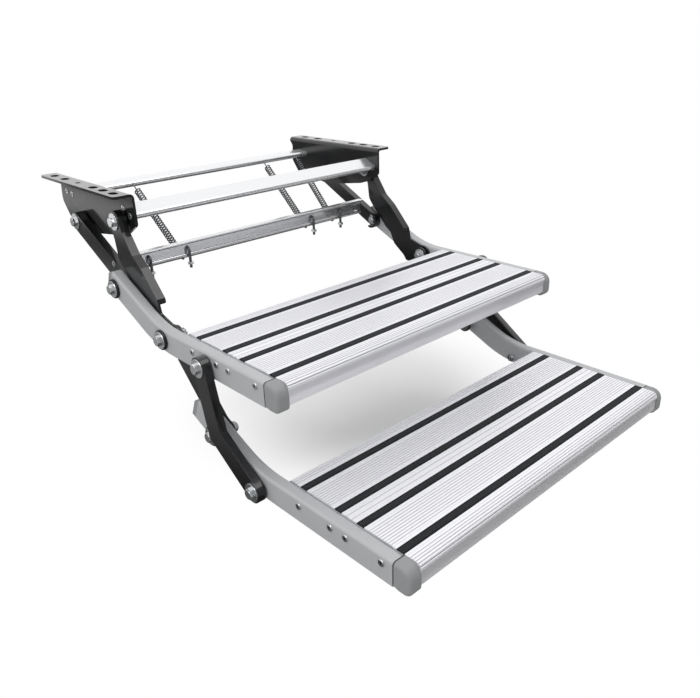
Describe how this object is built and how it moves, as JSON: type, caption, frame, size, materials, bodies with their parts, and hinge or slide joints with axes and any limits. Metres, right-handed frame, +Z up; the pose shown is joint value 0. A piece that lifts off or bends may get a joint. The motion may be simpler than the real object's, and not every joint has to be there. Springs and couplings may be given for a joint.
{
  "type": "camper entry step",
  "caption": "Folding double entry step that hangs under a camper's door, with ribbed treads on links that swing up and back.",
  "frame": {"origin": "on top of the bracket flanges, midway between the two pilot holes", "axes": "+X to the right of a person who climbs the step, +Y towards the vehicle, +Z up"},
  "size_m": [0.608, 0.8262, 0.3445],
  "materials": {
    "black_powder_coat": "semi-gloss powder coat",
    "black_nylon": "moulded, matt",
    "black_rubber": "extruded, ribbed",
    "grey_rail_paint": "satin grey stoving paint",
    "grey_plastic": "moulded, fine grain",
    "anodised_tread": "natural anodised extrusion, ribbed",
    "satin_aluminium": "satin anodised",
    "spring_steel": "drawn wire, zinc plated",
    "zinc_plate": "bright zinc plate"
  },
  "bodies": {
    "mount": {"bracket_left": "black_powder_coat", "bracket_right": "black_powder_coat", "bracket_bearing_washers": "black_nylon", "bracket_pivot_bolts": "zinc_plate", "bracket_pivot_bushes": "black_nylon", "bracket_pivot_nuts": "zinc_plate", "bracket_pivot_washers": "zinc_plate", "crossbar_screws": "zinc_plate", "front_crossbar": "satin_aluminium", "rear_spring_bar": "satin_aluminium"},
    "front_links": {"front_link_left": "black_powder_coat", "front_link_right": "black_powder_coat"},
    "upper_step": {"upper_rail_left": "grey_rail_paint", "upper_rail_right": "grey_rail_paint", "upper_front_plank": "anodised_tread", "upper_rear_plank": "anodised_tread", "upper_grip_strips": "black_rubber", "upper_rail_caps": "grey_plastic", "upper_rail_plugs": "grey_plastic", "upper_rail_screws": "zinc_plate", "middle_pivot_bolts": "zinc_plate", "middle_pivot_nuts": "zinc_plate", "rear_link_bolts": "zinc_plate", "upper_arm_bolts": "zinc_plate", "upper_arm_nuts": "zinc_plate", "upper_arm_bushes": "black_nylon", "upper_zinc_washers": "zinc_plate", "upper_bearing_washers": "black_nylon"},
    "rear_links": {"rear_link_left": "black_powder_coat", "rear_link_right": "black_powder_coat", "rear_link_nuts": "zinc_plate", "middle_bar": "satin_aluminium", "middle_bar_screws": "zinc_plate", "spring_hooks": "spring_steel", "spring_hook_nuts": "zinc_plate"},
    "springs": {"spring_1": "spring_steel", "spring_2": "spring_steel", "spring_3": "spring_steel", "spring_4": "spring_steel"},
    "outer_arms": {"outer_arm_left": "black_powder_coat", "outer_arm_right": "black_powder_coat"},
    "inner_arms": {"inner_arm_left": "black_powder_coat", "inner_arm_right": "black_powder_coat", "inner_arm_nuts": "zinc_plate", "inner_arm_spacers": "zinc_plate"},
    "lower_step": {"lower_rail_left": "grey_rail_paint", "lower_rail_right": "grey_rail_paint", "lower_front_plank": "anodised_tread", "lower_rear_plank": "anodised_tread", "lower_grip_strips": "black_rubber", "lower_rail_caps": "grey_plastic", "lower_rail_plugs": "grey_plastic", "lower_rail_screws": "zinc_plate", "lower_arm_bolts": "zinc_plate", "lower_arm_nuts": "zinc_plate", "lower_arm_bushes": "black_nylon", "lower_zinc_washers": "zinc_plate", "lower_bearing_washers": "black_nylon", "inner_arm_bolts": "zinc_plate"}
  },
  "joints": [
    {"name": "front_link_fold", "type": "hinge", "parent": "mount", "child": "front_links", "pos_m": [0, -0.106, -0.043], "axis": [1, 0, 0], "range_deg": [0, 95]},
    {"name": "upper_step_turn", "type": "hinge", "parent": "front_links", "child": "upper_step", "pos_m": [0, -0.241, -0.1845], "axis": [1, 0, 0], "range_deg": [-105.42, 0]},
    {"name": "rear_link_fold", "type": "hinge", "parent": "mount", "child": "rear_links", "pos_m": [0, 0.034, -0.066], "axis": [1, 0, 0], "range_deg": [0, 125.5]},
    {"name": "spring_swing", "type": "hinge", "parent": "mount", "child": "springs", "pos_m": [0, 0.06106, -0.02939], "axis": [1, 0, 0], "range_deg": [0, 98.05], "deforming": ["spring_1", "spring_2", "spring_3", "spring_4"]},
    {"name": "outer_arm_fold", "type": "hinge", "parent": "upper_step", "child": "outer_arms", "pos_m": [0, -0.354, -0.1865], "axis": [1, 0, 0], "range_deg": [0, 93]},
    {"name": "lower_step_turn", "type": "hinge", "parent": "outer_arms", "child": "lower_step", "pos_m": [0, -0.452, -0.3295], "axis": [1, 0, 0], "range_deg": [-97.7, 0]},
    {"name": "inner_arm_fold", "type": "hinge", "parent": "upper_step", "child": "inner_arms", "pos_m": [0, -0.241, -0.1845], "axis": [1, 0, 0], "range_deg": [0, 109.5]}
  ],
  "couplings": [
    {"joint": "upper_step_turn", "follows": "front_link_fold", "ratio": -1.1096},
    {"joint": "rear_link_fold", "follows": "front_link_fold", "ratio": 1.321},
    {"joint": "spring_swing", "follows": "front_link_fold", "ratio": 1.0321},
    {"joint": "lower_step_turn", "follows": "outer_arm_fold", "ratio": -1.0505},
    {"joint": "inner_arm_fold", "follows": "outer_arm_fold", "ratio": 1.177}
  ]
}
